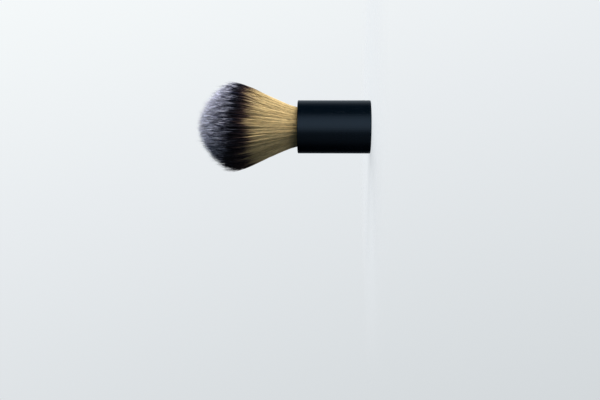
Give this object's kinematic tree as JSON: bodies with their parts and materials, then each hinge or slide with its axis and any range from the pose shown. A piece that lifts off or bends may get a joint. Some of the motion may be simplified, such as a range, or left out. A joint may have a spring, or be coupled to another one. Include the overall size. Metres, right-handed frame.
{
  "type": "shaving brush",
  "caption": "Shaving brush with a plain black cylindrical handle, hidden ballast and a flared, domed knot of banded fibres.",
  "frame": {"origin": "centre of the handle's flat bottom, on the surface that the brush stands on", "axes": "+Z along the brush's axis from the handle's bottom to the tips of the fibres; X and Y are alike"},
  "size_m": [0.0512, 0.0512, 0.098],
  "materials": {
    "black_anodised": "satin black anodised",
    "seal_rubber": "matte",
    "ballast_steel": "turned",
    "screw_steel": "bright",
    "cup_plastic": "matte",
    "root_resin": "clear amber resin",
    "binding_thread": "matte thread",
    "fibre": "fine synthetic fibres: tan at the root, a near-black band, grey-white tips"
  },
  "bodies": {
    "root": {"handle_sleeve": "black_anodised", "base_cap": "black_anodised", "base_seal_ring": "seal_rubber", "ballast_weight": "ballast_steel", "ballast_screw": "screw_steel", "knot_cup": "cup_plastic", "root_plug": "root_resin", "knot_binding": "binding_thread", "bristle_knot": "fibre"}
  },
  "joints": []
}
